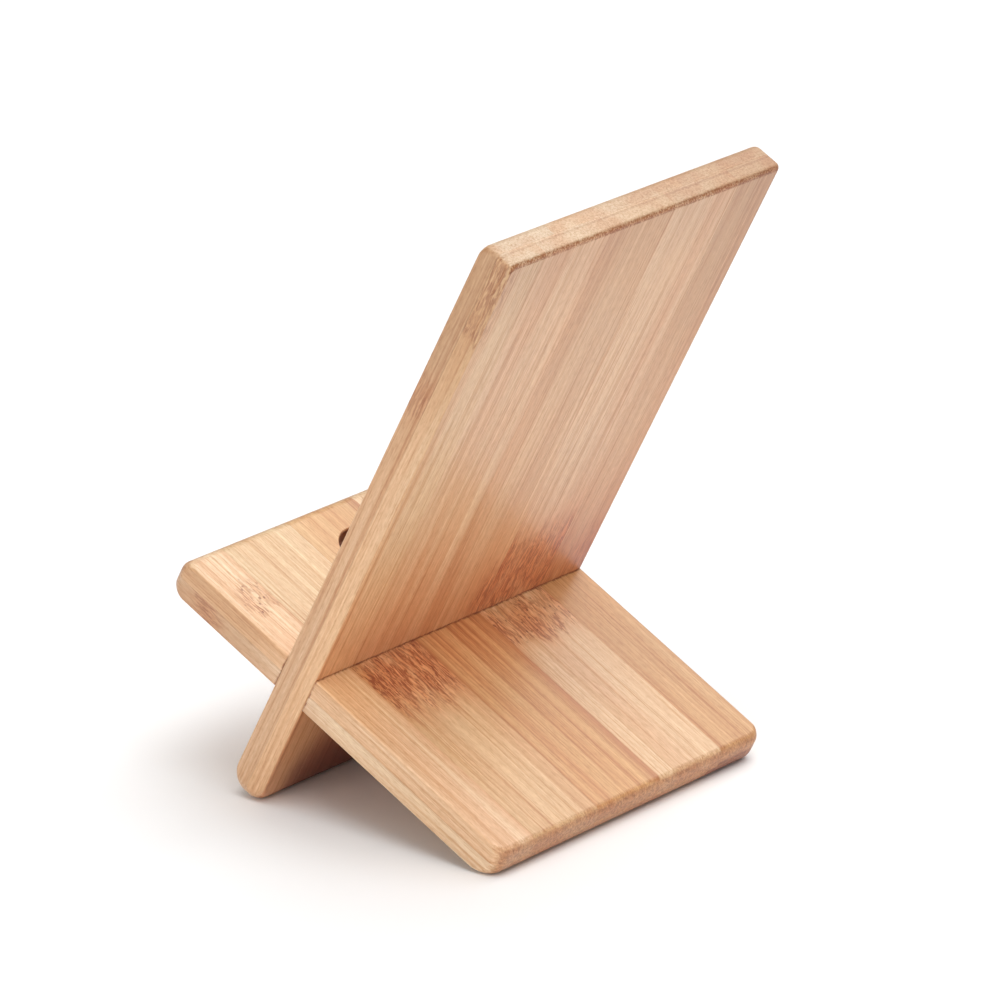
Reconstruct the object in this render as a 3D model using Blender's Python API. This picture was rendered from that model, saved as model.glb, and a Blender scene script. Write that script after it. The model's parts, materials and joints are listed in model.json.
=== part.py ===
"""Phone stand: two laminated bamboo boards that slot together in a cross.

Each board is two plies of flat bamboo strips, glued edge to edge and face to face, then
rounded at its ends and slotted to its middle. The long back board leans back and carries
the phone; the short shelf board crosses it, its front part being the ledge with the cable
hole and its rear part the foot. The slots face each other, so the back board slides out
sideways, towards +X.

A board is described in its own frame: X across its width, Z along its length and Y
through its thickness, with the origin at the middle of the crossing. Metres, +Z up, the
phone in front at -Y, and the stand's origin on the table under its middle.
"""
import math

import bmesh
import bpy
from mathutils import Matrix, Vector

# Driving dimensions, in metres
WIDTH = 0.080
THICKNESS = 0.0075
BACK_ABOVE = 0.1056
BACK_BELOW = 0.0294
SHELF_FRONT = 0.0333
SHELF_REAR = 0.0544
STRIP_WIDTH = 0.019
GLUE_LINE = 0.00005
SLOT_GAP = 0.0003

HOLE_DIAMETER = 0.0125
HOLE_FROM_CROSSING = 0.0189

FOOT_ROUND = 0.0035
END_ROUND_SHARP = 0.0012
END_ROUND_SMALL = 0.0018
END_ROUND_MEDIUM = 0.0020
END_ROUND_LARGE = 0.0030

ROUND_STEPS = 8
CORNER_STEPS = 6
EDGE_STEPS = 3
CLOSEST_STATIONS = 0.00003
HOLE_SIDES = 48
CUTTER_EXCESS = 0.004

# Both feet have the same round, so the table touches them along a line that is parallel
# to the one between the two square corners that they were cut from.
LEAN = math.atan2(BACK_BELOW - THICKNESS / 2, SHELF_REAR - THICKNESS / 2)

# Width of the part strip at each ply's +X edge. It differs between the two plies of a
# board, so that their edge joints don't line up.
OUTER_STRIP = {
    ("back", "rear"): 0.010,
    ("back", "front"): 0.016,
    ("shelf", "top"): 0.010,
    ("shelf", "bottom"): 0.007,
}

# Round of the long edges as (-X edge, +X edge), on the +Y side, 1, and on the -Y side, -1
EDGE_ROUNDS = {1: (0.0010, 0.0004), -1: (0.0010, 0.0005)}

# Each board: its extent along Z; the round of each end's two edges as (+Y edge, -Y edge);
# and the round of its corners seen along Y as (-X corner, +X corner). open_side is the edge
# that its slot opens at.
BOARDS = {
    "back": {
        "plies": {"rear": 1, "front": -1},
        "ends": {-1: BACK_BELOW, 1: BACK_ABOVE},
        "rounds": {-1: (FOOT_ROUND, END_ROUND_LARGE), 1: (END_ROUND_SHARP, END_ROUND_MEDIUM)},
        "corners": {-1: (0.0033, 0.0033), 1: (0.0006, 0.0016)},
        "half_names": {-1: "lower", 1: "upper"},
        "open_side": -1,
    },
    "shelf": {
        "plies": {"top": 1, "bottom": -1},
        "ends": {-1: SHELF_REAR, 1: SHELF_FRONT},
        "rounds": {-1: (END_ROUND_SMALL, FOOT_ROUND), 1: (END_ROUND_LARGE, END_ROUND_MEDIUM)},
        "corners": {-1: (0.0033, 0.0026), 1: (0.0025, 0.0025)},
        "half_names": {-1: "rear", 1: "front"},
        "open_side": 1,
    },
}

# Base colours of the strips, linear, from the +X edge
STRIP_COLOURS = {
    ("back", "rear"): [(0.68, 0.45, 0.30), (0.69, 0.46, 0.31), (0.65, 0.41, 0.27),
                       (0.68, 0.46, 0.32), (0.59, 0.36, 0.23)],
    ("back", "front"): [(0.62, 0.41, 0.23), (0.70, 0.48, 0.31), (0.66, 0.43, 0.26),
                        (0.72, 0.50, 0.33), (0.66, 0.42, 0.25)],
    ("shelf", "top"): [(0.84, 0.53, 0.30), (0.78, 0.47, 0.25), (0.72, 0.41, 0.22),
                       (0.84, 0.56, 0.35), (0.75, 0.45, 0.25)],
    ("shelf", "bottom"): [(0.80, 0.55, 0.35), (0.76, 0.49, 0.29), (0.80, 0.53, 0.32),
                          (0.72, 0.45, 0.26), (0.60, 0.32, 0.20)],
}


def clear_scene():
    for obj in list(bpy.data.objects):
        bpy.data.objects.remove(obj, do_unlink=True)


def make_material(name, colour):
    material = bpy.data.materials.new(name)
    material.use_nodes = True
    shader = material.node_tree.nodes["Principled BSDF"]
    shader.inputs["Base Color"].default_value = (*colour, 1.0)
    shader.inputs["Roughness"].default_value = 0.55
    shader.inputs["Metallic"].default_value = 0.0
    return material


def make_empty(name, parent=None):
    empty = bpy.data.objects.new(name, None)
    empty.empty_display_size = 0.02
    empty.parent = parent
    bpy.context.scene.collection.objects.link(empty)
    return empty


def make_object(name, bm, parent):
    bmesh.ops.recalc_face_normals(bm, faces=bm.faces)
    mesh = bpy.data.meshes.new(name)
    bm.to_mesh(mesh)
    bm.free()
    obj = bpy.data.objects.new(name, mesh)
    obj.parent = parent
    bpy.context.scene.collection.objects.link(obj)
    return obj


def round_drop(radius, inset):
    """How far a quarter round falls back, at a distance in from where it ends."""
    if inset >= radius:
        return 0.0
    return radius - math.sqrt(radius ** 2 - (radius - inset) ** 2)


def corner_points(side, outer, end, reach, round_radius):
    """Quarter round of a ply's outer corner, as (y, z), from its face to its end."""
    points = []
    for step in range(ROUND_STEPS + 1):
        angle = math.pi / 2 * step / ROUND_STEPS
        y = outer - side * round_radius * (1 - math.cos(angle))
        z = end * (reach - round_radius * (1 - math.sin(angle)))
        points.append((y, z))
    return points


def ply_outline(board, side, half=0, edge=0, inset=THICKNESS):
    """Side profile of one ply as (y, z).

    half is -1 or 1 for what one side of the slot keeps. edge is -1 or 1 for the board's -X
    or +X side face, and inset is how far in from it the profile is taken.
    """
    inner = side * GLUE_LINE / 2
    slot_wall = THICKNESS / 2 + SLOT_GAP
    which = 0 if edge < 0 else 1
    drop = round_drop(EDGE_ROUNDS[side][which], inset)
    outer = side * (THICKNESS / 2 - drop)
    ends = {}
    for end in (-1, 1):
        if half == -end:
            ends[end] = [(outer, -end * slot_wall)]
        else:
            round_radius = board["rounds"][end][0 if side > 0 else 1] - drop
            reach = board["ends"][end] - round_drop(board["corners"][end][which], inset)
            ends[end] = corner_points(side, outer, end, reach, round_radius)
    bottom, top = ends[-1], ends[1]
    return [(inner, bottom[-1][1])] + bottom[::-1] + top + [(inner, top[-1][1])]


def edge_insets(board, side, edge, half):
    """Distances in from a side face that follow the rounds there, without near repeats."""
    which = 0 if edge < 0 else 1
    rounds = [(EDGE_ROUNDS[side][which], EDGE_STEPS)]
    rounds += [(board["corners"][end][which], CORNER_STEPS) for end in (-1, 1) if half != -end]
    found = sorted(radius * (1 - math.cos(math.pi / 2 * step / steps))
                   for radius, steps in rounds for step in range(steps + 1))
    kept = [found[0]]
    for inset in found[1:]:
        if inset - kept[-1] > CLOSEST_STATIONS:
            kept.append(inset)
    return kept


def loft_strip(board, side, half, x_low, x_high):
    """Strip between two X, following the board's rounds where it reaches a side face."""
    stations = []
    if x_low == -WIDTH / 2:
        stations += [(x_low + inset, ply_outline(board, side, half, -1, inset))
                     for inset in edge_insets(board, side, -1, half)]
    else:
        stations.append((x_low, ply_outline(board, side, half)))
    if x_high == WIDTH / 2:
        stations += [(x_high - inset, ply_outline(board, side, half, 1, inset))
                     for inset in reversed(edge_insets(board, side, 1, half))]
    else:
        stations.append((x_high, ply_outline(board, side, half)))
    bm = bmesh.new()
    rings = [[bm.verts.new((x, y, z)) for y, z in outline] for x, outline in stations]
    for ring, following in zip(rings, rings[1:]):
        for index in range(len(ring)):
            after = (index + 1) % len(ring)
            bm.faces.new((ring[index], ring[after], following[after], following[index]))
    bm.faces.new(rings[0])
    bm.faces.new(rings[-1])
    return bm


def strip_edges(outer_strip):
    """X of the joints between a ply's strips, from +X to -X, with the board's own edges."""
    edges = [WIDTH / 2]
    x = WIDTH / 2 - outer_strip
    while x > -WIDTH / 2:
        edges.append(x)
        x -= STRIP_WIDTH
    edges.append(-WIDTH / 2)
    return edges


def make_cutter(name, bm, parent):
    cutter = make_object(name, bm, parent)
    cutter.hide_render = True
    cutter.display_type = "WIRE"
    return cutter


def make_slot_cutter(board_name, board, parent):
    """Box that cuts the slot from the board's open edge to just past its middle."""
    depth = WIDTH / 2 + SLOT_GAP / 2 + CUTTER_EXCESS
    bm = bmesh.new()
    bmesh.ops.create_cube(bm, size=1.0)
    size = (depth, THICKNESS + 2 * CUTTER_EXCESS, THICKNESS + 2 * SLOT_GAP)
    bmesh.ops.scale(bm, vec=size, verts=bm.verts)
    shift = board["open_side"] * (depth / 2 - SLOT_GAP / 2)
    bmesh.ops.translate(bm, vec=(shift, 0, 0), verts=bm.verts)
    return make_cutter(board_name + "_slot_cutter", bm, parent)


def make_hole_cutter(parent):
    """Drill of the charging cable's hole, through the shelf in front of the back board."""
    bm = bmesh.new()
    turn = Matrix.Rotation(math.pi / 2, 4, "X")
    place = Matrix.Translation(Vector((0, 0, HOLE_FROM_CROSSING)))
    bmesh.ops.create_cone(bm, cap_ends=True, segments=HOLE_SIDES, radius1=HOLE_DIAMETER / 2,
                          radius2=HOLE_DIAMETER / 2, depth=THICKNESS + 2 * CUTTER_EXCESS,
                          matrix=place @ turn)
    return make_cutter("cable_hole_cutter", bm, parent)


def cut(obj, cutter):
    modifier = obj.modifiers.new(cutter.name, "BOOLEAN")
    modifier.operation = "DIFFERENCE"
    modifier.solver = "EXACT"
    modifier.object = cutter


def make_strip(name, board, side, edges, half, colour, parent):
    x_high, x_low = edges
    if x_high != WIDTH / 2:
        x_high -= GLUE_LINE / 2
    if x_low != -WIDTH / 2:
        x_low += GLUE_LINE / 2
    bm = loft_strip(board, side, half, x_low, x_high)
    obj = make_object(name, bm, parent)
    obj.data.shade_smooth()
    obj.data.set_sharp_from_angle(angle=math.radians(35))
    obj.data.materials.append(make_material(name, colour))
    return obj


def make_ply(board_name, ply_name, board, parent, slot_cutter, hole_cutter):
    """All strips of one ply, numbered from the +X edge."""
    side = board["plies"][ply_name]
    open_side = board["open_side"]
    edges = strip_edges(OUTER_STRIP[board_name, ply_name])
    colours = STRIP_COLOURS[board_name, ply_name]
    for number, span in enumerate(zip(edges, edges[1:]), start=1):
        name = f"{board_name}_{ply_name}_strip_{number}"
        colour = colours[number - 1]
        nearest, farthest = sorted((open_side * span[0], open_side * span[1]))
        halves = (-1, 1) if nearest > 0 else (0,)
        for half in halves:
            piece_name = name if half == 0 else f"{name}_{board['half_names'][half]}"
            strip = make_strip(piece_name, board, side, span, half, colour, parent)
            if half == 0 and farthest > 0:
                cut(strip, slot_cutter)
            near_hole = span[0] > -HOLE_DIAMETER / 2 and span[1] < HOLE_DIAMETER / 2
            if hole_cutter and near_hole and half >= 0:
                cut(strip, hole_cutter)


def crossing_points(board_name):
    """Side profile of a board as (y, z) in the crossing's frame, the back board upright."""
    board = BOARDS[board_name]
    points = ply_outline(board, 1) + ply_outline(board, -1)
    return points if board_name == "back" else [(-z, y) for y, z in points]


def stand_location():
    """Where the crossing's middle lies when the stand is on the table, over its own middle."""
    lean, rise = math.sin(LEAN), math.cos(LEAN)
    points = crossing_points("back") + crossing_points("shelf")
    depths = [y * rise + z * lean for y, z in points]
    heights = [z * rise - y * lean for y, z in points]
    return Vector((0, -(min(depths) + max(depths)) / 2, -min(heights)))


def main():
    clear_scene()
    stand = make_empty("phone_stand")
    stand.location = stand_location()
    stand.rotation_euler = (-LEAN, 0, 0)
    turns = {"back": 0.0, "shelf": math.pi / 2}
    for board_name, board in BOARDS.items():
        frame = make_empty(board_name + "_board", stand)
        frame.rotation_euler = (turns[board_name], 0, 0)
        slot_cutter = make_slot_cutter(board_name, board, frame)
        hole_cutter = make_hole_cutter(frame) if board_name == "shelf" else None
        for ply_name in board["plies"]:
            make_ply(board_name, ply_name, board, frame, slot_cutter, hole_cutter)


main()
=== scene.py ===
"""Looks of the phone stand: every bamboo strip of its two boards, with its grain and finish.

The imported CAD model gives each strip's place. Each strip is built again here with finer
rounds and edges, in its board's own frame: X across the board, Y out of its rear or top
face, Z along the grain, and the origin at the middle of the crossing. The materials read
that frame, so the grain runs along Z through the whole thickness of a strip and shows as
fibres on its faces and as stipple on its ends.
"""

import json
import math

import bmesh
import bpy
from mathutils import Matrix, Vector


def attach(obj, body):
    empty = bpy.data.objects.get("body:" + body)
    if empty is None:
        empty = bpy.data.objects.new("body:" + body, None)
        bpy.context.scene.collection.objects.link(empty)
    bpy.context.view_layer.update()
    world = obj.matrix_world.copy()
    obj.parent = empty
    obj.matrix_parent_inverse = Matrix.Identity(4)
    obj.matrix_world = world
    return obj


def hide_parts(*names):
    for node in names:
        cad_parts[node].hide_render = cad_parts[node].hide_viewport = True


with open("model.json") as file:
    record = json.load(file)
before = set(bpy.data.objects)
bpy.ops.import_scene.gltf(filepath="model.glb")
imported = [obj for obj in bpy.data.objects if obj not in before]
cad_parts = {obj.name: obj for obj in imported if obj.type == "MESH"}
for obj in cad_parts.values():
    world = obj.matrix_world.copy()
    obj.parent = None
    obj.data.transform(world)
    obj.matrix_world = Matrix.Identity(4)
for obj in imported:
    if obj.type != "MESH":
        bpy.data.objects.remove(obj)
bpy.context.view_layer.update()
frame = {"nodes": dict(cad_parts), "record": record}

# Lengths in metres. Rounds of the board ends, as (+Y edge, -Y edge), at -Z, -1, and +Z, 1
END_ROUNDS = {
    "back": {-1: (0.0035, 0.0030), 1: (0.0012, 0.0020)},
    "shelf": {-1: (0.0018, 0.0035), 1: (0.0030, 0.0020)},
}
# Rounds of the boards' corners seen along Y, as (-X corner, +X corner) at each end
CORNER_ROUNDS = {
    "back": {-1: (0.0033, 0.0033), 1: (0.0006, 0.0016)},
    "shelf": {-1: (0.0033, 0.0026), 1: (0.0025, 0.0025)},
}
# Rounds of the long edges, as (-X edge, +X edge) of the rear or top ply, 1, and the other, -1
EDGE_ROUNDS = {1: (0.0010, 0.0004), -1: (0.0010, 0.00015)}
SLOT_GAP = 0.00003
JOINT_GAP = 0.00003
HOLE_DIAMETER = 0.0125
HOLE_FROM_CROSSING = 0.0189
HOLE_CHAMFER = 0.00025
CUTTER_EXCESS = 0.004

ROUND_STEPS = 12
HOLE_SIDES = 96
SHARP_ANGLE = 32

# How close two edges are that touch
TOUCHING = 0.0001

# Camera, as seen from the point that it is aimed at: degrees, metres, and mm of lens
VIEW_AZIMUTH = 128.711
VIEW_ELEVATION = 19.853
VIEW_ROLL = -0.555
VIEW_DISTANCE = 1.4493
VIEW_AIM = Vector((-0.01443, -0.00501, 0.04931))
VIEW_LENS = 273.85

SENSOR_WIDTH = 36.0
NEAREST_SEEN = 0.05
FARTHEST_SEEN = 20.0

WHITE = (1.0, 1.0, 1.0, 1.0)
ROOM_LIGHT = 0.41
FLOOR_RADIUS = 1.2
FLOOR_SIDES = 64
FLOOR_COLOUR = (0.94, 0.94, 0.94, 1.0)
FLOOR_ROUGHNESS = 0.8
RIM_GLOW = 0.4
# Where the floor's glow sets in, as a share of its radius
GLOW_START = 0.3
# Area lights: degrees of azimuth and elevation, metres of distance and size, watts
SOFTBOXES = {
    "key_light": (266.0, 60.0, 3.2, 3.0, 58.0),
    "top_light": (150.0, 68.0, 3.0, 1.8, 39.0),
    "side_light": (92.0, 14.0, 1.6, 1.0, 6.8),
}


# ---------------------------------------------------------------- board frames

def mount_axis(name):
    mounts = frame["record"]["mounts"]
    return next(Vector(mount["axis"]).normalized() for mount in mounts if mount["name"] == name)


def board_nodes(board_name):
    return {name: obj for name, obj in frame["nodes"].items() if name.startswith(board_name)}


def middle_along(axis, board_name):
    """Height of a board's middle plane along its thickness axis."""
    heights = [axis.dot(v.co) for obj in board_nodes(board_name).values()
               for v in obj.data.vertices]
    return (min(heights) + max(heights)) / 2


def board_matrices():
    """World matrix of each board's own frame, read from the mounts and the CAD nodes."""
    across = Vector((1, 0, 0))
    out_of = {"back": -mount_axis("phone_back"), "shelf": mount_axis("phone_ledge")}
    crossing = sum((axis * middle_along(axis, name) for name, axis in out_of.items()), Vector())
    matrices = {}
    for name, axis in out_of.items():
        turn = Matrix((across, axis, across.cross(axis))).transposed().to_4x4()
        matrices[name] = Matrix.Translation(crossing) @ turn
    return matrices


def local_box(node, matrix):
    """Lowest and highest corner of a CAD node in its board's frame."""
    inverse = matrix.inverted()
    points = [inverse @ v.co for v in frame["nodes"][node].data.vertices]
    low = Vector([min(p[i] for p in points) for i in range(3)])
    high = Vector([max(p[i] for p in points) for i in range(3)])
    return low, high


# ---------------------------------------------------------------- strips

def round_drop(radius, inset):
    """How far a quarter round falls back, at a distance in from where it ends."""
    if inset >= radius:
        return 0.0
    return radius - math.sqrt(radius ** 2 - (radius - inset) ** 2)


def corner_points(outer, end_z, round_radius):
    """Quarter round of a ply's outer corner, as (y, z), from its face to its end."""
    side = math.copysign(1, outer)
    end = math.copysign(1, end_z)
    points = []
    for step in range(ROUND_STEPS + 1):
        angle = math.pi / 2 * step / ROUND_STEPS
        y = outer - side * round_radius * (1 - math.cos(angle))
        z = end_z - end * round_radius * (1 - math.sin(angle))
        points.append((y, z))
    return points


class Strip:
    """Shape of one strip in its board's frame, between low and high corners."""

    def __init__(self, board_name, low, high, board_low, board_high):
        self.board_name = board_name
        self.low, self.high = low, high
        self.side = 1 if low.y + high.y > 0 else -1
        self.outer = high.y if self.side > 0 else low.y
        self.inner = self.side * JOINT_GAP / 2
        self.half_thickness = abs(self.outer)
        self.at_low_edge = abs(low.x - board_low.x) < TOUCHING
        self.at_high_edge = abs(high.x - board_high.x) < TOUCHING
        # Close up the glue joints and the slot, which the CAD solids keep wider
        half_gap = JOINT_GAP / 2
        self.x_low = low.x if self.at_low_edge else round_to_joint(low.x) + half_gap
        self.x_high = high.x if self.at_high_edge else round_to_joint(high.x) - half_gap
        self.half = 1 if low.z > 0 else -1 if high.z < 0 else 0

    def insets(self, x_sign):
        """Distances in from the board's side face where the shape bends."""
        radii = {EDGE_ROUNDS[self.side][0 if x_sign < 0 else 1]}
        for end in (-1, 1):
            radii.add(CORNER_ROUNDS[self.board_name][end][0 if x_sign < 0 else 1])
        steps = range(ROUND_STEPS + 1)
        angles = [math.pi / 2 * step / ROUND_STEPS for step in steps]
        return sorted({round(r * (1 - math.cos(a)), 7) for r in radii for a in angles})

    def outline(self, inset, x_sign):
        """Side profile as (y, z) at that distance in from the board's side face."""
        drop = round_drop(EDGE_ROUNDS[self.side][0 if x_sign < 0 else 1], inset)
        outer = self.outer - self.side * drop
        chains = {}
        for end, z in ((-1, self.low.z), (1, self.high.z)):
            if self.half == -end:
                chains[end] = [(outer, -end * (self.half_thickness + SLOT_GAP))]
                continue
            corner = CORNER_ROUNDS[self.board_name][end][0 if x_sign < 0 else 1]
            radius = END_ROUNDS[self.board_name][end][0 if self.side > 0 else 1] - drop
            end_z = z - end * round_drop(corner, inset)
            chains[end] = corner_points(outer, end_z, radius)
        bottom, top = chains[-1], chains[1]
        return [(self.inner, bottom[-1][1])] + bottom[::-1] + top + [(self.inner, top[-1][1])]

    def stations(self):
        """Every (x, outline) that the strip is lofted through, from -X to +X."""
        far = max(max(pair) for ends in CORNER_ROUNDS.values() for pair in ends.values())
        found = []
        if self.at_low_edge:
            found += [(self.x_low + inset, self.outline(inset, -1)) for inset in self.insets(-1)]
        else:
            found.append((self.x_low, self.outline(far, 1)))
        if self.at_high_edge:
            insets = reversed(self.insets(1))
            found += [(self.x_high - inset, self.outline(inset, 1)) for inset in insets]
        else:
            found.append((self.x_high, self.outline(far, 1)))
        return found

    def mesh(self):
        bm = bmesh.new()
        rings = [[bm.verts.new((x, y, z)) for y, z in outline] for x, outline in self.stations()]
        for ring, following in zip(rings, rings[1:]):
            for index in range(len(ring)):
                after = (index + 1) % len(ring)
                bm.faces.new((ring[index], ring[after], following[after], following[index]))
        bm.faces.new(rings[0])
        bm.faces.new(rings[-1])
        return bm


def round_to_joint(x):
    """X of the joint beside a strip's edge, half a glue line away and on a whole mm."""
    return round(x, 3)


def new_object(name, bm):
    """Object of that mesh, in the scene. The bmesh is used up."""
    bmesh.ops.recalc_face_normals(bm, faces=bm.faces)
    mesh = bpy.data.meshes.new(name)
    bm.to_mesh(mesh)
    bm.free()
    obj = bpy.data.objects.new(name, mesh)
    bpy.context.scene.collection.objects.link(obj)
    return obj


def slot_cutter(open_side, half_width, half_thickness):
    """Box of the slot, from the board's open edge to just past its middle."""
    depth = half_width + SLOT_GAP / 2 + CUTTER_EXCESS
    bm = bmesh.new()
    bmesh.ops.create_cube(bm, size=1.0)
    size = (depth, 2 * (half_thickness + CUTTER_EXCESS), 2 * (half_thickness + SLOT_GAP))
    bmesh.ops.scale(bm, vec=size, verts=bm.verts)
    bmesh.ops.translate(bm, vec=(open_side * (depth / 2 - SLOT_GAP / 2), 0, 0), verts=bm.verts)
    return new_object("slot_cutter", bm)


def hole_cutter(half_thickness):
    """Turned profile of the drill: the hole, flaring at both faces to a small chamfer."""
    radius = HOLE_DIAMETER / 2
    flare = radius + HOLE_CHAMFER + CUTTER_EXCESS
    mouth = half_thickness + CUTTER_EXCESS
    neck = half_thickness - HOLE_CHAMFER
    profile = [(0, -mouth), (flare, -mouth), (radius, -neck), (radius, neck), (flare, mouth),
               (0, mouth)]
    bm = bmesh.new()
    rings = []
    for reach, y in profile:
        if reach == 0:
            rings.append([bm.verts.new((0, y, HOLE_FROM_CROSSING))])
            continue
        ring = []
        for step in range(HOLE_SIDES):
            angle = math.tau * step / HOLE_SIDES
            x, z = reach * math.cos(angle), reach * math.sin(angle)
            ring.append(bm.verts.new((x, y, HOLE_FROM_CROSSING + z)))
        rings.append(ring)
    for first, second in zip(rings, rings[1:]):
        for step in range(HOLE_SIDES):
            after = (step + 1) % HOLE_SIDES
            corners = [first[step % len(first)], first[after % len(first)],
                       second[after % len(second)], second[step % len(second)]]
            bm.faces.new(list(dict.fromkeys(corners)))
    return new_object("hole_cutter", bm)


def cut_away(obj, cutter):
    """Cut the cutter's shape out of the strip, and keep the result as its mesh."""
    modifier = obj.modifiers.new("cut", "BOOLEAN")
    modifier.operation = "DIFFERENCE"
    modifier.solver = "EXACT"
    modifier.object = cutter
    bpy.context.view_layer.update()
    evaluated = obj.evaluated_get(bpy.context.evaluated_depsgraph_get())
    mesh = bpy.data.meshes.new_from_object(evaluated)
    obj.modifiers.clear()
    obj.data = mesh


def smooth_faces(obj):
    """Smooth shading over the rounds, with flat faces that stay flat."""
    obj.data.shade_smooth()
    obj.data.set_sharp_from_angle(angle=math.radians(SHARP_ANGLE))
    modifier = obj.modifiers.new("flat_faces", "WEIGHTED_NORMAL")
    modifier.keep_sharp = True
    modifier.weight = 100


def make_strip(node, board_name, matrix, board_low, board_high, cutters):
    """Visual piece of one CAD node, with what the slot and the hole leave of it."""
    low, high = local_box(node, matrix)
    strip = Strip(board_name, low, high, board_low, board_high)
    obj = new_object(node.replace("strip", "slat"), strip.mesh())
    near_hole = low.x < HOLE_DIAMETER / 2 and high.x > -HOLE_DIAMETER / 2
    open_side = cutters["open_side"]
    if strip.half == 0 and max(low.x * open_side, high.x * open_side) > 0:
        cut_away(obj, cutters["slot"])
    if "hole" in cutters and near_hole and high.z > HOLE_FROM_CROSSING:
        cut_away(obj, cutters["hole"])
    smooth_faces(obj)
    obj.matrix_world = matrix
    return obj


def make_board(board_name, matrix, open_side):
    """All strips of a board, whose slot opens at the -X or the +X edge."""
    boxes = [local_box(node, matrix) for node in board_nodes(board_name)]
    board_low = Vector([min(low[i] for low, high in boxes) for i in range(3)])
    board_high = Vector([max(high[i] for low, high in boxes) for i in range(3)])
    half_width = (board_high.x - board_low.x) / 2
    half_thickness = (board_high.y - board_low.y) / 2
    cutters = {"open_side": open_side, "slot": slot_cutter(open_side, half_width, half_thickness)}
    if board_name == "shelf":
        cutters["hole"] = hole_cutter(half_thickness)
    slot_of = {part["node"]: part["material_slot"] for part in frame["record"]["subparts"]}
    for node in sorted(board_nodes(board_name)):
        obj = make_strip(node, board_name, matrix, board_low, board_high, cutters)
        obj.data.materials.clear()
        obj.data.materials.append(strip_material(slot_of[node]))
        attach(obj, board_name + "_board")
        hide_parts(node)
    for cutter in (cutters["slot"], cutters.get("hole")):
        if cutter:
            bpy.data.objects.remove(cutter)


# ---------------------------------------------------------------- node graphs

class Graph:
    """Short calls for building a node tree."""

    def __init__(self, tree):
        self.tree = tree

    def add(self, kind, inputs=None, **settings):
        node = self.tree.nodes.new(kind)
        for key, value in settings.items():
            setattr(node, key, value)
        for key, value in (inputs or {}).items():
            self.feed(node.inputs[key], value)
        return node

    def feed(self, socket, value):
        if isinstance(value, bpy.types.NodeSocket):
            self.tree.links.new(value, socket)
        else:
            socket.default_value = value

    def math(self, operation, *values, clamp=False):
        node = self.add("ShaderNodeMath", operation=operation, use_clamp=clamp)
        for index, value in enumerate(values):
            self.feed(node.inputs[index], value)
        return node.outputs[0]

    def vector(self, operation, *values):
        node = self.add("ShaderNodeVectorMath", operation=operation)
        for index, value in enumerate(values):
            self.feed(node.inputs[index], value)
        return node.outputs[0]

    def scaled(self, vector, factor):
        node = self.add("ShaderNodeVectorMath", operation="SCALE")
        self.feed(node.inputs[0], vector)
        self.feed(node.inputs["Scale"], factor)
        return node.outputs[0]

    def parts(self, vector):
        return self.add("ShaderNodeSeparateXYZ", {0: vector}).outputs

    def noise(self, vector, stretch, detail=2.0, roughness=0.5):
        place = self.vector("MULTIPLY", vector, stretch)
        inputs = {"Vector": place, "Scale": 1.0, "Detail": detail, "Roughness": roughness}
        return self.add("ShaderNodeTexNoise", inputs, noise_dimensions="3D")

    def cells(self, vector, stretch):
        place = self.vector("MULTIPLY", vector, stretch)
        return self.add("ShaderNodeTexVoronoi", {"Vector": place, "Scale": 1.0},
                        voronoi_dimensions="3D", feature="F1")

    def ramp(self, value, start, stop, low=0.0, high=1.0):
        inputs = {"Value": value, "From Min": start, "From Max": stop, "To Min": low,
                  "To Max": high}
        node = self.add("ShaderNodeMapRange", inputs, interpolation_type="SMOOTHSTEP")
        return node.outputs[0]

    def tint(self, colour, factor, tint):
        """Colour times the tint, as far as the factor says."""
        node = self.add("ShaderNodeMix", data_type="RGBA", blend_type="MULTIPLY")
        self.feed(node.inputs[0], factor)
        self.feed(node.inputs[6], colour)
        self.feed(node.inputs[7], tint)
        return node.outputs[2]

    def blend(self, factor, first, second):
        node = self.add("ShaderNodeMix", data_type="RGBA", blend_type="MIX")
        self.feed(node.inputs[0], factor)
        self.feed(node.inputs[6], first)
        self.feed(node.inputs[7], second)
        return node.outputs[2]


# ---------------------------------------------------------------- bamboo

# Half a board's thickness, in mm as all of the materials' lengths
BOARD_HALF = 3.75
MM_PER_METRE = 1000.0

# Knuckles, in mm: how far their outline strays along the strip, how softly they end across
# it, and how far the stain reaches past the dark fibres
KNOT_STRAY = 9.0
KNOT_SIDE_FADE = 4.0
STAIN_SPREAD = 3.0

# X of a dark edge on a strip that has none
NOWHERE = 1000.0

# Everything that can differ from strip to strip, with the value where none is given
GRAIN_INPUTS = {
    "Base": ("NodeSocketColor", (0.7, 0.45, 0.25, 1.0)),
    "Seed": ("NodeSocketVector", (0.0, 0.0, 0.0)),
    "Knot From": ("NodeSocketFloat", 0.0),
    "Knot To": ("NodeSocketFloat", 0.0),
    "Knot From Fade": ("NodeSocketFloat", 2.0),
    "Knot To Fade": ("NodeSocketFloat", 2.0),
    "Knot X": ("NodeSocketFloat", 0.0),
    "Knot Reach": ("NodeSocketFloat", 100.0),
    "Knot": ("NodeSocketFloat", 0.0),
    "Dots": ("NodeSocketFloat", 0.0),
    "Scorched End": ("NodeSocketFloat", 0.0),
    "Tip Shade": ("NodeSocketFloat", 0.0),
    "Warmth": ("NodeSocketFloat", 0.0),
    "Dark Edge X": ("NodeSocketFloat", NOWHERE),
    "Stain": ("NodeSocketFloat", 1.0),
    "Marks": ("NodeSocketFloat", 1.0),
    "End Painted Shading": ("NodeSocketColor", (1.0, 1.0, 1.0, 1.0)),
    "Shelf": ("NodeSocketFloat", 0.0),
    "Painted End Shade": ("NodeSocketFloat", 0.0),
}
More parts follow.
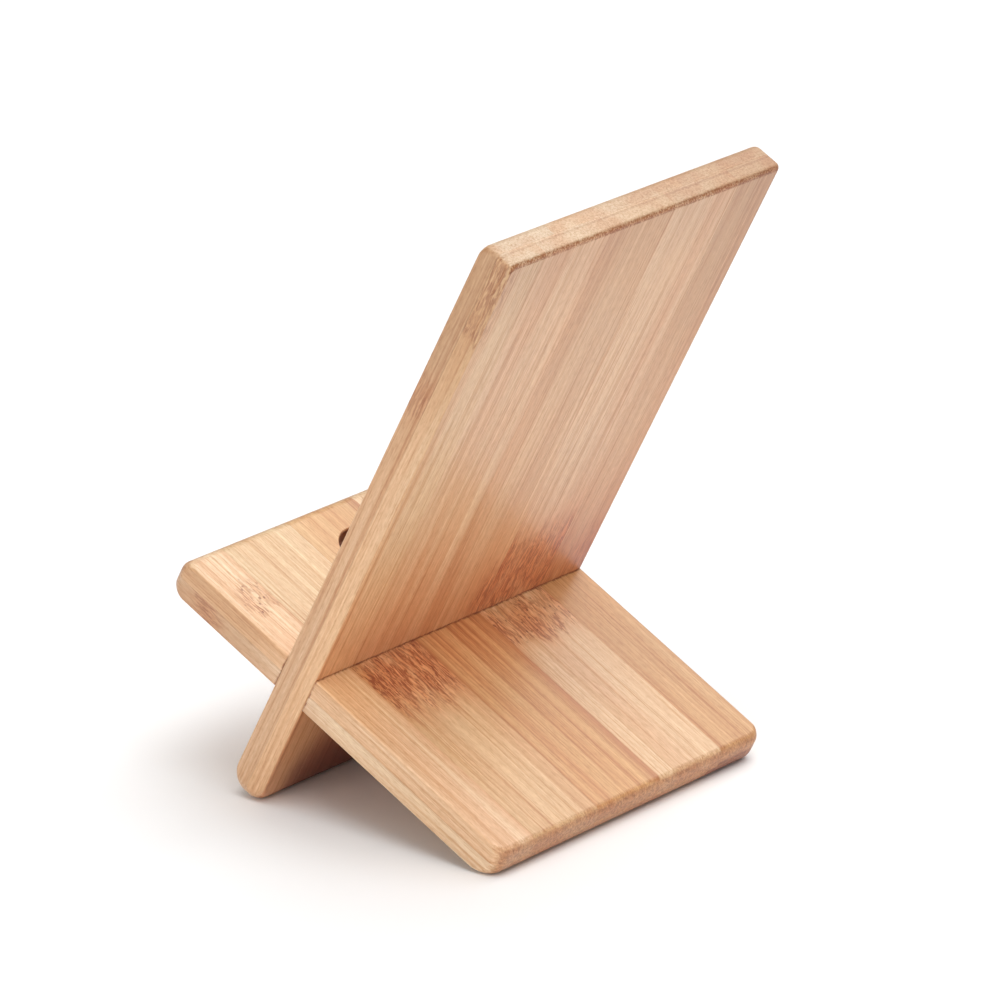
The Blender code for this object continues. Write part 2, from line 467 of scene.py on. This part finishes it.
GRAIN_OUTPUTS = {
    "Color": "NodeSocketColor",
    "Roughness": "NodeSocketFloat",
    "Height": "NodeSocketFloat",
}


def grain_group():
    """The bamboo: colour, with painted light and shade in it, roughness and relief, all from a
    place in the board, in mm.
    """
    tree = bpy.data.node_groups.new("bamboo_grain", "ShaderNodeTree")
    for name, (kind, value) in GRAIN_INPUTS.items():
        socket = tree.interface.new_socket(name, in_out="INPUT", socket_type=kind)
        socket.default_value = value
    for name, kind in GRAIN_OUTPUTS.items():
        tree.interface.new_socket(name, in_out="OUTPUT", socket_type=kind)
    g = Graph(tree)
    given = g.add("NodeGroupInput").outputs
    result = g.add("NodeGroupOutput").inputs
    coordinates = g.add("ShaderNodeTexCoord")
    place = g.scaled(coordinates.outputs["Object"], MM_PER_METRE)
    normal = g.parts(coordinates.outputs["Normal"])
    here = g.parts(place)
    own = g.vector("ADD", place, given["Seed"])

    knot = knuckle_area(g, given, own, here, 0.0)
    fibre = bent_fibres(g, own, knot)
    hairs = g.noise(fibre, (2.6, 2.6, 0.020), 3.0, 0.55).outputs[0]
    dark = g.ramp(hairs, 0.50, 0.72)
    light = g.ramp(hairs, 0.48, 0.28)
    streaks = g.noise(fibre, (0.80, 0.80, 0.008), 3.0, 0.55).outputs[0]
    band = g.noise(fibre, (0.15, 0.15, 0.003), 2.0, 0.5).outputs[0]
    marks = g.noise(fibre, (2.5, 2.5, 0.32), 3.0, 0.6).outputs[0]
    mark = g.ramp(marks, 0.47, 0.56)
    stipple = g.noise(own, (2.4, 2.4, 0.4), 3.0, 0.65).outputs[0]
    end = g.ramp(g.math("ABSOLUTE", normal["Z"]), 0.45, 0.85)
    flank = g.ramp(g.math("ABSOLUTE", normal["X"]), 0.4, 0.8)
    scorch = scorched_edge(g, given, own, normal)

    colour = g.blend(g.math("MULTIPLY", end, 0.8), given["Base"], END_BASE)
    colour = with_fibres(g, colour, own, fibre, band, streaks, dark, light, end)
    colour = with_shades(g, colour, given, normal, here, end, flank)
    colour = with_crease(g, colour, given, normal, here, streaks, light)
    colour = with_knuckle(g, colour, given, own, here, fibre, marks, mark, knot)
    colour = with_end_grain(g, colour, given, normal, own, here, band, stipple, end)
    # Painted shade along the line where a face meets the other board
    shade_at_crossing = g.math("SUBTRACT", crossing_shade_line(g, given, own, here, flank), end, clamp=True)
    colour = g.tint(colour, shade_at_crossing, (0.44, 0.24, 0.14, 1))
    colour = g.tint(colour, scorch, (0.54, 0.30, 0.11, 1))
    # Painted shade on the wall of the cable hole
    colour = g.tint(colour, hole_wall_shade(g, given, here), (0.50, 0.36, 0.30, 1))

    rough = g.math("MULTIPLY_ADD", dark, 0.06, 0.48)
    rough = g.math("MULTIPLY_ADD", end, 0.14, rough)
    rough = g.math("MULTIPLY_ADD", knot, 0.06, rough)
    height = g.math("MULTIPLY_ADD", dark, -0.7, g.math("MULTIPLY", streaks, 0.6))
    height = g.math("SUBTRACT", height, g.math("MULTIPLY", mark, g.math("MULTIPLY", knot, 0.6)))
    height = g.math("SUBTRACT", height, g.math("MULTIPLY", end, stipple))
    height = g.math("SUBTRACT", height, scorch)

    g.feed(result["Color"], colour)
    g.feed(result["Roughness"], rough)
    g.feed(result["Height"], height)


def with_fibres(g, colour, own, fibre, band, streaks, dark, light, end):
    """Long fibres, from hair lines to bands as wide as a finger, and fainter on end grain."""
    mottle = g.noise(own, (0.05, 0.05, 0.025), 2.0).outputs[0]
    flecks = g.noise(fibre, (3.0, 3.0, 0.55), 2.0, 0.6).outputs[0]
    bundles = g.cells(fibre, (0.95, 1.15, 0.014))
    bundle = g.ramp(bundles.outputs["Distance"], 0.34, 0.10)
    shade = g.parts(bundles.outputs["Color"])
    bundle = g.math("MULTIPLY", bundle, g.ramp(shade["X"], 0.1, 0.9))
    faint = g.math("MULTIPLY_ADD", end, -0.7, 1.0)
    dark_streak = g.math("MULTIPLY", g.ramp(streaks, 0.50, 0.68), faint)
    light_streak = g.math("MULTIPLY", g.ramp(streaks, 0.46, 0.30), faint)
    colour = g.tint(colour, g.ramp(band, 0.38, 0.62), (0.92, 0.80, 0.72, 1))
    colour = g.tint(colour, g.ramp(mottle, 0.35, 0.70), (1.03, 1.00, 0.95, 1))
    colour = g.tint(colour, dark_streak, (0.89, 0.78, 0.68, 1))
    colour = g.tint(colour, light_streak, (1.08, 1.13, 1.18, 1))
    colour = g.tint(colour, g.math("MULTIPLY", bundle, 0.70), (0.86, 0.71, 0.57, 1))
    colour = g.tint(colour, g.math("MULTIPLY", dark, faint), (0.82, 0.67, 0.54, 1))
    colour = g.tint(colour, g.math("MULTIPLY", light, faint), (1.10, 1.18, 1.28, 1))
    colour = g.tint(colour, g.ramp(flecks, 0.50, 0.70), (0.89, 0.82, 0.75, 1))
    return g.tint(colour, g.ramp(flecks, 0.50, 0.30), (1.08, 1.11, 1.14, 1))


def with_shades(g, colour, given, normal, here, end, flank):
    """Slow changes of colour over the faces of each board, several of them painted light and
    shade.
    """
    # Back board, browner at its top on its side face and on some of its strips: partly painted
    # shade, as less light reaches the side face high up, and partly the strips' own colour
    tip = g.math("MULTIPLY", g.ramp(here["Z"], 40.0, 95.0), given["Tip Shade"])
    tip = g.math("MULTIPLY", tip, g.math("MULTIPLY_ADD", flank, 0.65, 0.35))
    tip = g.math("SUBTRACT", tip, end, clamp=True)
    colour = g.tint(colour, tip, (0.77, 0.71, 0.64, 1))
    # Rear ply of the back board, redder down towards the shelf, which is painted warm light
    # bounced off the shelf
    shelf_bounce_light = g.math("MULTIPLY", g.ramp(here["Z"], 45.0, 2.0), given["Warmth"])
    shelf_bounce_light = g.math("SUBTRACT", shelf_bounce_light, flank, clamp=True)
    colour = g.tint(colour, shelf_bounce_light, (0.95, 0.73, 0.60, 1))
    # Front part of the shelf, darker on its side face, and paler and cooler elsewhere, which is
    # painted light where the back board leaves it open to the lamps
    front = g.math("MULTIPLY", g.ramp(here["Z"], 2.0, 16.0), given["Shelf"])
    colour = g.tint(colour, g.math("MULTIPLY", front, flank), (0.83, 0.78, 0.72, 1))
    front = g.math("SUBTRACT", front, flank, clamp=True)
    colour = g.tint(colour, front, (1.01, 1.11, 1.19, 1))
    # Dark edge of one strip along its glue joint
    edge = g.math("ABSOLUTE", g.math("SUBTRACT", here["X"], given["Dark Edge X"]))
    edge = g.math("SUBTRACT", g.ramp(edge, 4.0, 0.5), end, clamp=True)
    colour = g.tint(colour, edge, (0.76, 0.57, 0.47, 1))
    # Rear face of the back board, darker at its top, and much darker under the shelf, where this
    # is painted shade
    back_face = g.math("MULTIPLY", g.ramp(normal["Y"], 0.3, 0.8), given["Warmth"])
    top = g.math("MULTIPLY", g.ramp(here["Z"], 86.0, 106.0), back_face)
    colour = g.tint(colour, top, (0.90, 0.87, 0.86, 1))
    # Painted shade under the shelf, strongest in from the +X edge and low down
    under_shelf_shade = g.math("MULTIPLY", g.ramp(here["Z"], -4.0, -16.0), g.ramp(here["X"], 37.0, 20.0))
    colour = g.tint(colour, g.math("MULTIPLY", under_shelf_shade, back_face), (0.68, 0.48, 0.44, 1))
    under_shelf_shade = g.math("MULTIPLY", g.ramp(here["Z"], -12.0, -24.0), g.ramp(here["X"], 37.0, 30.0))
    colour = g.tint(colour, g.math("MULTIPLY", under_shelf_shade, back_face), (0.50, 0.36, 0.36, 1))
    # Side face of the shelf's bottom ply, paler towards the rear
    low = g.math("MULTIPLY", g.ramp(here["Z"], 0.0, -15.0), g.ramp(here["Y"], 0.5, -0.5))
    low = g.math("MULTIPLY", g.math("MULTIPLY", flank, low), given["Shelf"])
    return g.tint(colour, low, (1.09, 1.17, 1.18, 1))


def with_crease(g, colour, given, normal, here, streaks, light):
    """Rear half of the shelf's top face towards the back board: brighter and redder, which is
    painted warm light bounced between the boards, and with streakier grain.
    """
    crease = g.math("MULTIPLY", g.ramp(here["Z"], -26.0, -3.0), g.ramp(here["Z"], 2.0, -1.0))
    shelf_top = g.math("MULTIPLY", g.ramp(normal["Y"], 0.3, 0.8), given["Shelf"])
    crease = g.math("MULTIPLY", crease, shelf_top)
    # Painted warm bounce light near the back board
    colour = g.tint(colour, crease, (1.18, 1.12, 0.99, 1))
    inner = g.ramp(g.math("ABSOLUTE", g.math("SUBTRACT", here["X"], 10.0)), 21.0, 15.0)
    inner = g.math("MULTIPLY", crease, inner)
    dark_streak = g.math("MULTIPLY", inner, g.ramp(streaks, 0.48, 0.60))
    colour = g.tint(colour, inner, (1.0, 0.91, 0.95, 1))
    colour = g.tint(colour, dark_streak, (0.83, 0.66, 0.57, 1))
    return g.tint(colour, g.math("MULTIPLY", inner, light), (1.06, 1.12, 1.15, 1))


def with_knuckle(g, colour, given, own, here, fibre, marks, mark, knot):
    """Reddish ground, short wavy dark fibres, and dots where bundles turn outwards."""
    gap = g.ramp(marks, 0.44, 0.34)
    stain = g.noise(own, (0.22, 0.22, 0.10), 2.0, 0.6).outputs[0]
    patchy = g.ramp(stain, 0.25, 0.60, 0.45, 1.0)
    around = knuckle_area(g, given, own, here, STAIN_SPREAD)
    ground = g.math("MULTIPLY", g.math("MULTIPLY", around, patchy), given["Stain"])
    lined = g.math("MULTIPLY", g.math("MULTIPLY", knot, patchy), given["Marks"])
    colour = g.tint(colour, ground, (0.93, 0.64, 0.48, 1))
    colour = g.tint(colour, g.math("MULTIPLY", mark, lined), (0.52, 0.31, 0.21, 1))
    colour = g.tint(colour, g.math("MULTIPLY", gap, lined), (1.10, 1.22, 1.28, 1))
    spots = g.cells(fibre, (1.15, 1.15, 0.80))
    chosen = g.parts(spots.outputs["Color"])
    spot = g.math("MULTIPLY", g.ramp(spots.outputs["Distance"], 0.34, 0.18),
                  g.ramp(chosen["X"], 0.60, 0.70))
    spot = g.math("MULTIPLY", spot, g.math("MULTIPLY", knot, given["Dots"]))
    return g.tint(colour, spot, (0.46, 0.27, 0.18, 1))


def with_end_grain(g, colour, given, normal, own, here, band, stipple, end):
    """Ends of the strips: painted light and shade, bundles as dots, coarser on the shelf, and the
    plies' seam.
    """
    dots = g.math("MULTIPLY", end, g.ramp(stipple, 0.48, 0.62))
    gaps = g.math("MULTIPLY", end, g.ramp(stipple, 0.50, 0.36))
    # Painted light and shade on the ends of each board
    colour = g.tint(colour, end, given["End Painted Shading"])
    colour = g.tint(colour, dots, (0.87, 0.79, 0.72, 1))
    colour = g.tint(colour, gaps, (1.05, 1.08, 1.10, 1))
    coarse = g.noise(own, (1.5, 1.5, 0.6), 2.0, 0.6).outputs[0]
    shelf_end = g.math("MULTIPLY", end, given["Shelf"])
    dots = g.math("MULTIPLY", shelf_end, g.ramp(coarse, 0.50, 0.60))
    gaps = g.math("MULTIPLY", shelf_end, g.ramp(coarse, 0.48, 0.40))
    colour = g.tint(colour, dots, (0.80, 0.75, 0.74, 1))
    colour = g.tint(colour, gaps, (1.12, 1.15, 1.16, 1))
    # Back board's ends, browner from the +X side to the -X side
    across = g.math("MULTIPLY", end, g.ramp(here["X"], 27.0, -40.0))
    across = g.math("SUBTRACT", across, given["Shelf"], clamp=True)
    colour = g.tint(colour, across, (0.78, 0.66, 0.56, 1))
    # Pale broken seam between the plies, with a dark line beside it on the back board
    seam = g.math("MULTIPLY", g.ramp(g.math("ABSOLUTE", here["Y"]), 0.45, 0.20),
                  g.ramp(band, 0.40, 0.55, 0.4, 1.0))
    colour = g.tint(colour, g.math("MULTIPLY", end, seam), (1.10, 1.14, 1.18, 1))
    groove = g.math("ABSOLUTE", g.math("SUBTRACT", here["Y"], 0.6))
    groove = g.math("MULTIPLY", end, g.ramp(groove, 0.35, 0.10))
    groove = g.math("SUBTRACT", groove, given["Shelf"], clamp=True)
    colour = g.tint(colour, groove, (0.86, 0.80, 0.75, 1))
    # Rear end of some of the shelf's strips, darker low down, which is painted shade
    painted_end_shade = g.math("MULTIPLY", g.ramp(normal["Z"], -0.25, -0.50), g.ramp(here["Y"], 1.3, 0.5))
    painted_end_shade = g.math("MULTIPLY", painted_end_shade, given["Painted End Shade"])
    return g.tint(colour, painted_end_shade, (0.66, 0.50, 0.46, 1))


def knuckle_area(g, given, own, here, spread):
    """1 where a knuckle of the cane crosses the strip, with a ragged and fading outline."""
    ragged = g.noise(own, (0.55, 0.55, 0.05), 2.0).outputs[0]
    z = g.math("MULTIPLY_ADD", g.math("SUBTRACT", ragged, 0.5), KNOT_STRAY, here["Z"])
    after = g.math("ADD", g.math("SUBTRACT", z, given["Knot From"]), spread)
    before = g.math("ADD", g.math("SUBTRACT", given["Knot To"], z), spread)
    after = g.math("DIVIDE", after, g.math("ADD", given["Knot From Fade"], 2 * spread))
    before = g.math("DIVIDE", before, g.math("ADD", given["Knot To Fade"], 2 * spread))
    aside = g.math("ABSOLUTE", g.math("SUBTRACT", here["X"], given["Knot X"]))
    beside = g.math("SUBTRACT", given["Knot Reach"], aside)
    beside = g.math("DIVIDE", beside, KNOT_SIDE_FADE)
    knot = g.math("MULTIPLY", g.ramp(after, 0.0, 1.0), g.ramp(before, 0.0, 1.0))
    knot = g.math("MULTIPLY", knot, g.ramp(beside, 0.0, 1.0))
    return g.math("MULTIPLY", knot, given["Knot"])


def bent_fibres(g, own, knot):
    """Place along the fibres, which wander a little and twist at a knuckle."""
    half = (0.5, 0.5, 0.5)
    wander = g.vector("SUBTRACT", g.noise(own, (0.03, 0.03, 0.010), 2.0).outputs["Color"], half)
    twist = g.vector("SUBTRACT", g.noise(own, (0.35, 0.35, 0.16), 2.0).outputs["Color"], half)
    twist = g.vector("MULTIPLY", twist, (2.0, 2.0, 2.0))
    fibre = g.vector("ADD", own, g.vector("MULTIPLY", wander, (2.0, 2.0, 0.0)))
    return g.vector("ADD", fibre, g.scaled(twist, knot))


def crossing_shade_line(g, given, own, here, flank):
    """1 on a thin broken line of painted shade where a face meets the other board."""
    reach = g.math("ABSOLUTE", here["Z"])
    line = g.math("MULTIPLY", g.ramp(reach, BOARD_HALF + 0.45, BOARD_HALF + 0.10),
                  g.ramp(reach, BOARD_HALF - 0.30, BOARD_HALF - 0.05))
    breaks = g.noise(own, (0.9, 0.9, 0.3), 3.0, 0.6).outputs[0]
    line = g.math("MULTIPLY", line, g.ramp(breaks, 0.38, 0.60, 0.25, 1.0))
    # A board's side face is whole where its own slot does not open
    opening = g.math("MULTIPLY", here["X"], g.math("MULTIPLY_ADD", given["Shelf"], 2.0, -1.0))
    whole = g.math("MULTIPLY", flank, g.ramp(opening, 20.0, -20.0))
    return g.math("SUBTRACT", line, whole, clamp=True)


def scorched_edge(g, given, own, normal):
    """1 on a broken line where a rear or top face was rounded over into its end."""
    over = g.math("MULTIPLY", normal["Z"], g.math("SIGN", given["Scorched End"]))
    line = g.math("MULTIPLY", g.ramp(over, 0.05, 0.22), g.ramp(over, 0.97, 0.78))
    line = g.math("MULTIPLY", line, g.ramp(normal["Y"], 0.2, 0.5))
    chips = g.noise(own, (3.0, 3.0, 3.0), 2.0, 0.6).outputs[0]
    breaks = g.noise(own, (0.35, 0.35, 0.35), 2.0, 0.6).outputs[0]
    worn = g.math("MULTIPLY_ADD", g.math("SUBTRACT", breaks, 0.5), 0.4, chips)
    line = g.math("MULTIPLY", line, g.math("ABSOLUTE", given["Scorched End"]))
    return g.math("MULTIPLY", line, g.ramp(worn, 0.40, 0.54, 0.10, 1.0))


def hole_wall_shade(g, given, here):
    """1 on the wall of the cable hole, painted darker as the shade inside the hole."""
    along = g.math("SUBTRACT", here["Z"], HOLE_FROM_CROSSING * MM_PER_METRE)
    reach = g.math("SQRT", g.math("ADD", g.math("MULTIPLY", here["X"], here["X"]),
                                  g.math("MULTIPLY", along, along)))
    radius = HOLE_DIAMETER / 2 * MM_PER_METRE
    return g.math("MULTIPLY", g.ramp(reach, radius + 0.12, radius + 0.02), given["Shelf"])


# Ground colour of each strip, linear, from the +X edge of its ply
STRIP_COLOURS = {
    "back_rear": [(0.75, 0.49, 0.28), (0.74, 0.47, 0.27), (0.72, 0.43, 0.23),
                  (0.75, 0.48, 0.28), (0.68, 0.39, 0.20)],
    "back_front": [(0.69, 0.475, 0.29), (0.72, 0.44, 0.24), (0.70, 0.42, 0.22),
                   (0.72, 0.44, 0.24), (0.69, 0.41, 0.22)],
    "shelf_top": [(0.79, 0.55, 0.34), (0.69, 0.44, 0.23), (0.65, 0.37, 0.16),
                  (0.71, 0.48, 0.28), (0.58, 0.32, 0.14)],
    "shelf_bottom": [(0.73, 0.52, 0.34), (0.68, 0.42, 0.22), (0.69, 0.43, 0.23),
                     (0.66, 0.40, 0.21), (0.61, 0.36, 0.19)],
}
# Ground colour of all end grain, and each board's painted light and shade on it: lighter and
# cooler on the back board's top end, which faces the lamps, and darker on the shelf's rear end,
# which lies in shade
END_BASE = (0.72, 0.45, 0.25, 1.0)
END_PAINTED_SHADING = {"back": (0.92, 1.07, 1.27, 1.0), "shelf": (0.76, 0.63, 0.55, 1.0)}
# Shelf strips whose rear end gets painted shade low down
SHADED_ENDS = ("shelf_top_strip_5", "shelf_bottom_strip_5")

# Knuckles of the cane: places and fades in mm from the crossing, and strengths up to 1
KNOTS = {
    "shelf_top_strip_1": {"Knot From": 14.0, "Knot To": 25.0, "Knot To Fade": 4.0,
                          "Knot": 0.9, "Dots": 1.0, "Stain": 0.4, "Marks": 0.75,
                          "Knot X": 34.0, "Knot Reach": 5.5},
    "shelf_top_strip_2": {"Knot From": -23.0, "Knot To": -3.0, "Knot From Fade": 9.0,
                          "Knot": 1.0, "Dots": 0.5},
    "shelf_top_strip_4": {"Knot From": -16.0, "Knot To": -3.0, "Knot": 0.9, "Dots": 0.9,
                          "Stain": 0.85, "Marks": 0.9},
    "shelf_bottom_strip_1": {"Knot From": 20.0, "Knot To": 29.0, "Knot": 0.6, "Dots": 0.5},
    "back_rear_strip_1": {"Knot From": 86.0, "Knot To": 106.0, "Knot": 0.7, "Stain": 0.15,
                          "Knot X": 44.0, "Knot Reach": 8.0},
    "back_front_strip_1": {"Knot From": 64.0, "Knot To": 76.0, "Knot": 0.35},
    "back_rear_strip_3": {"Knot From": 2.0, "Knot To": 20.0, "Knot To Fade": 9.0,
                          "Knot": 0.8, "Marks": 1.0, "Knot X": -9.0, "Knot Reach": 7.0},
    "back_rear_strip_4": {"Knot From": 2.0, "Knot To": 26.0, "Knot To Fade": 8.0,
                          "Knot": 1.0, "Marks": 0.8},
    "back_rear_strip_5": {"Knot From": 2.0, "Knot To": 19.0, "Knot To Fade": 7.0,
                          "Knot": 0.7, "Marks": 0.5},
}
# How dark the scorched line of a ply is, negative where it lies at the -Z end
SCORCHED_END = {"back_rear": 0.95, "shelf_top": -0.3}
# X in mm of a strip's dark edge
DARK_EDGES = {"shelf_top_strip_3": -8.0}
# How much a strip darkens towards the top of the back board, partly painted shade
TIP_SHADES = {"back_rear_strip_1": 1.0, "back_rear_strip_3": 1.3, "back_rear_strip_4": 0.4,
              "back_rear_strip_5": 2.1, "back_front_strip_1": 1.0}
# Shift of the grain's pattern, in mm, from one strip to the next
SEED_STEP = Vector((37.3, 21.7, 151.9))
STRIPS_PER_PLY = 5
BUMP_DEPTH = 0.00006
BUMP_STRENGTH = 0.5
LACQUER_IOR = 1.5
COAT_WEIGHT = 0.5
COAT_ROUGHNESS = 0.30


def strip_material(slot_name):
    """Bamboo of one strip. The two halves of a slotted strip share it."""
    if slot_name in bpy.data.materials and bpy.data.materials[slot_name].get("is_bamboo"):
        return bpy.data.materials[slot_name]
    ply, number = slot_name.split("_strip_")
    material = bpy.data.materials.new(slot_name)
    material["is_bamboo"] = True
    material.use_nodes = True
    g = Graph(material.node_tree)
    shader = material.node_tree.nodes["Principled BSDF"]
    grain = g.add("ShaderNodeGroup", node_tree=bpy.data.node_groups["bamboo_grain"])
    index = list(STRIP_COLOURS).index(ply) * STRIPS_PER_PLY + int(number)
    values = {
        "Base": (*STRIP_COLOURS[ply][int(number) - 1], 1.0),
        "Seed": SEED_STEP * index,
        "Scorched End": SCORCHED_END.get(ply, 0.0),
        "Warmth": 1.0 if ply == "back_rear" else 0.0,
        "End Painted Shading": END_PAINTED_SHADING[ply.split("_")[0]],
        "Painted End Shade": 1.0 if slot_name in SHADED_ENDS else 0.0,
        "Tip Shade": TIP_SHADES.get(slot_name, 0.0),
        "Shelf": 1.0 if ply.startswith("shelf") else 0.0,
        "Dark Edge X": DARK_EDGES.get(slot_name, NOWHERE),
        **KNOTS.get(slot_name, {}),
    }
    for key, value in values.items():
        grain.inputs[key].default_value = value
    bump = g.add("ShaderNodeBump", {"Height": grain.outputs["Height"],
                                    "Strength": BUMP_STRENGTH, "Distance": BUMP_DEPTH})
    g.feed(shader.inputs["Base Color"], grain.outputs["Color"])
    g.feed(shader.inputs["Roughness"], grain.outputs["Roughness"])
    g.feed(shader.inputs["Normal"], bump.outputs["Normal"])
    shader.inputs["IOR"].default_value = LACQUER_IOR
    shader.inputs["Coat Weight"].default_value = COAT_WEIGHT
    shader.inputs["Coat Roughness"].default_value = COAT_ROUGHNESS
    return material


# ---------------------------------------------------------------- studio

def make_floor():
    bm = bmesh.new()
    bmesh.ops.create_circle(bm, cap_ends=True, segments=FLOOR_SIDES, radius=FLOOR_RADIUS)
    floor = new_object("studio_floor", bm)
    material = bpy.data.materials.new("studio_floor")
    material.use_nodes = True
    shader = material.node_tree.nodes["Principled BSDF"]
    shader.inputs["Base Color"].default_value = FLOOR_COLOUR
    shader.inputs["Roughness"].default_value = FLOOR_ROUGHNESS
    # Glows faintly towards its rim, so that it stays as white there as in the middle
    g = Graph(material.node_tree)
    place = g.add("ShaderNodeTexCoord").outputs["Object"]
    away = g.add("ShaderNodeVectorMath", {0: place}, operation="LENGTH").outputs["Value"]
    glow = g.ramp(away, FLOOR_RADIUS * GLOW_START, FLOOR_RADIUS, 0.0, RIM_GLOW)
    g.feed(shader.inputs["Emission Strength"], glow)
    shader.inputs["Emission Color"].default_value = WHITE
    floor.data.materials.append(material)


def make_softbox(name, azimuth, elevation, distance, size, power):
    """Square area light that faces the stand's origin from that direction."""
    light = bpy.data.lights.new(name, "AREA")
    light.shape = "SQUARE"
    light.size = size
    light.energy = power
    obj = bpy.data.objects.new(name, light)
    bpy.context.scene.collection.objects.link(obj)
    towards = direction_to(azimuth, elevation)
    obj.location = towards * distance
    obj.rotation_euler = (-towards).to_track_quat("-Z", "Y").to_euler()


def make_world():
    world = bpy.data.worlds.new("studio")
    world.use_nodes = True
    background = world.node_tree.nodes["Background"]
    background.inputs["Color"].default_value = WHITE
    # The room lights the stand softly, and looks white behind it
    world_graph = Graph(world.node_tree)
    seen = world_graph.add("ShaderNodeLightPath").outputs["Is Camera Ray"]
    strength = world_graph.math("MULTIPLY_ADD", seen, 1.0 - ROOM_LIGHT, ROOM_LIGHT)
    world_graph.feed(background.inputs["Strength"], strength)
    bpy.context.scene.world = world


def direction_to(azimuth, elevation):
    """Unit vector from the stand; azimuth 0 is in front of it and 90 on its +X side."""
    a, e = math.radians(azimuth), math.radians(elevation)
    return Vector((math.sin(a) * math.cos(e), -math.cos(a) * math.cos(e), math.sin(e)))


def make_camera():
    towards = direction_to(VIEW_AZIMUTH, VIEW_ELEVATION)
    right = (-towards).cross(Vector((0, 0, 1))).normalized()
    level_up = right.cross(-towards)
    roll = math.radians(VIEW_ROLL)
    up = math.cos(roll) * level_up + math.sin(roll) * right
    side = (-towards).cross(up)
    camera = bpy.data.cameras.new("camera")
    camera.lens = VIEW_LENS
    camera.sensor_width = SENSOR_WIDTH
    camera.clip_start = NEAREST_SEEN
    camera.clip_end = FARTHEST_SEEN
    obj = bpy.data.objects.new("camera", camera)
    turn = Matrix((side, up, towards)).transposed().to_4x4()
    obj.matrix_world = Matrix.Translation(VIEW_AIM + towards * VIEW_DISTANCE) @ turn
    bpy.context.scene.collection.objects.link(obj)
    bpy.context.scene.camera = obj


def make_studio():
    make_floor()
    make_world()
    for name, settings in SOFTBOXES.items():
        make_softbox(name, *settings)
    make_camera()
    view = bpy.context.scene.view_settings
    view.view_transform = "Standard"
    view.look = "None"


def main():
    grain_group()
    matrices = board_matrices()
    make_board("back", matrices["back"], -1)
    make_board("shelf", matrices["shelf"], 1)
    make_studio()


main()
